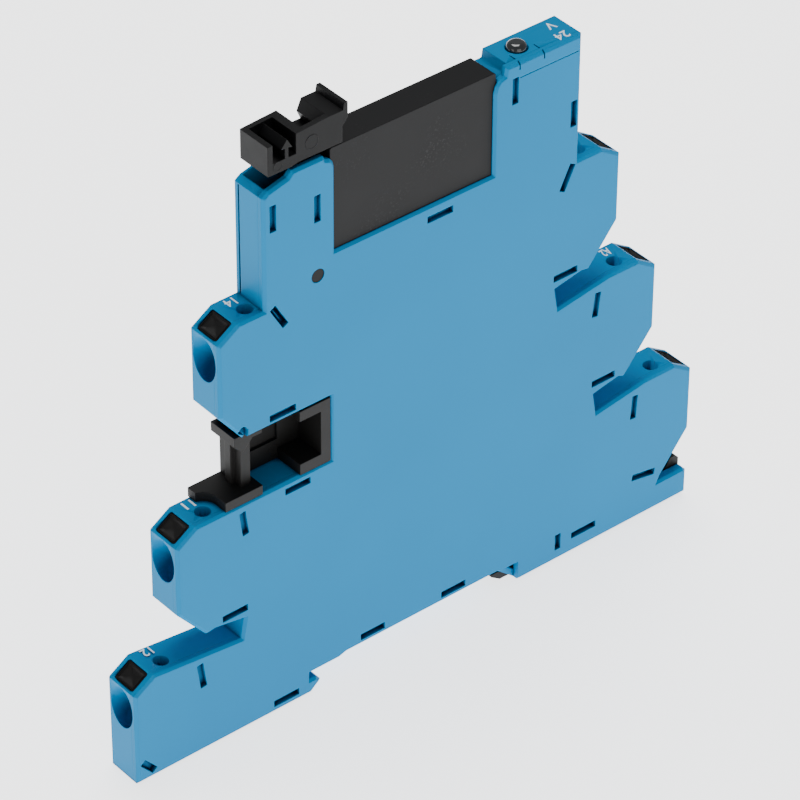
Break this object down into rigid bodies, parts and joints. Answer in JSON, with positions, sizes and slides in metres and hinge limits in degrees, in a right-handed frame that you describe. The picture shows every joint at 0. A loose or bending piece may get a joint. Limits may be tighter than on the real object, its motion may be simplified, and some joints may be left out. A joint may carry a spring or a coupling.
{
  "type": "solid state interface relay module",
  "caption": "Slim blue rail-mounted interface module with stepped push-in terminal noses, a plug-in solid state relay in a top window, an ejector lever and a rail clip.",
  "frame": {"origin": "middle of the rail seat: halfway between the rail's two edges, at mid width, on the face that rests on the rail", "axes": "+X along the module from the contact terminals to the coil terminals, +Y across its thin width away from the flat cover, +Z away from the rail, towards the relay"},
  "size_m": [0.1005, 0.0062, 0.0956],
  "materials": {
    "housing_blue": "satin moulded, fine grain",
    "relay_grey": "satin moulded, lightly scuffed",
    "black_plastic": "satin moulded",
    "spring_steel": "rolled strip",
    "copper_bar": "rolled copper alloy strip",
    "tinned_copper": "tin plated",
    "board_green": "solder mask",
    "chip_black": "moulded",
    "lens_dark": "polished tinted dome"
  },
  "bodies": {
    "housing": {"housing_cover": "housing_blue", "housing_tray": "housing_blue", "jumper_carrier": "black_plastic", "circuit_board": "board_green", "rectifier": "chip_black", "suppressor": "chip_black", "resistors": "chip_black", "indicator": "lens_dark", "indicator_leads": "tinned_copper", "clamp_spring_14": "spring_steel", "clamp_spring_11": "spring_steel", "clamp_spring_12": "spring_steel", "clamp_spring_a1": "spring_steel", "clamp_spring_a2": "spring_steel", "clamp_spring_a3": "spring_steel", "conductor_14": "copper_bar", "conductor_11": "copper_bar", "conductor_12": "copper_bar", "conductor_a1": "copper_bar", "conductor_a2": "copper_bar", "conductor_a3": "copper_bar", "coil_link_a1": "copper_bar", "coil_link_a2": "copper_bar"},
    "relay": {"relay_case": "relay_grey", "relay_base": "relay_grey", "relay_pins": "tinned_copper", "relay_board": "board_green", "output_switch": "chip_black", "optocoupler": "chip_black"},
    "lever": {"ejector_lever": "black_plastic"},
    "clip": {"rail_clip": "black_plastic"},
    "button_14": {"release_button_14": "black_plastic"},
    "button_11": {"release_button_11": "black_plastic"},
    "button_12": {"release_button_12": "black_plastic"},
    "button_a1": {"release_button_a1": "black_plastic"},
    "button_a2": {"release_button_a2": "black_plastic"},
    "button_a3": {"release_button_a3": "black_plastic"}
  },
  "joints": [
    {"name": "lever_tilt", "type": "hinge", "parent": "housing", "child": "lever", "pos_m": [-0.016, 0, 0.06715], "axis": [0, -1, 0], "range_deg": [0, 18]},
    {"name": "relay_lift", "type": "slide", "parent": "housing", "child": "relay", "axis": [0, 0, 1], "range_m": [0, 0.0016]},
    {"name": "clip_slide", "type": "slide", "parent": "housing", "child": "clip", "axis": [1, 0, 0], "range_m": [0, 0.002], "stiffness_N_per_m": 400, "springref_m": -0.0005},
    {"name": "button_14_press", "type": "slide", "parent": "housing", "child": "button_14", "axis": [0.5432, 0, -0.8396], "range_m": [0, 0.0012], "stiffness_N_per_m": 400, "springref_m": -0.0005},
    {"name": "button_11_press", "type": "slide", "parent": "housing", "child": "button_11", "axis": [0.5432, 0, -0.8396], "range_m": [0, 0.0012], "stiffness_N_per_m": 400, "springref_m": -0.0005},
    {"name": "button_12_press", "type": "slide", "parent": "housing", "child": "button_12", "axis": [0.5432, 0, -0.8396], "range_m": [0, 0.0012], "stiffness_N_per_m": 400, "springref_m": -0.0005},
    {"name": "button_a1_press", "type": "slide", "parent": "housing", "child": "button_a1", "axis": [-0.5432, 0, -0.8396], "range_m": [0, 0.0012], "stiffness_N_per_m": 400, "springref_m": -0.0005},
    {"name": "button_a2_press", "type": "slide", "parent": "housing", "child": "button_a2", "axis": [-0.5432, 0, -0.8396], "range_m": [0, 0.0012], "stiffness_N_per_m": 400, "springref_m": -0.0005},
    {"name": "button_a3_press", "type": "slide", "parent": "housing", "child": "button_a3", "axis": [-0.5432, 0, -0.8396], "range_m": [0, 0.0012], "stiffness_N_per_m": 400, "springref_m": -0.0005}
  ],
  "couplings": [
    {"joint": "lever_tilt", "follows": "relay_lift", "rad_per_m": 196.3}
  ]
}
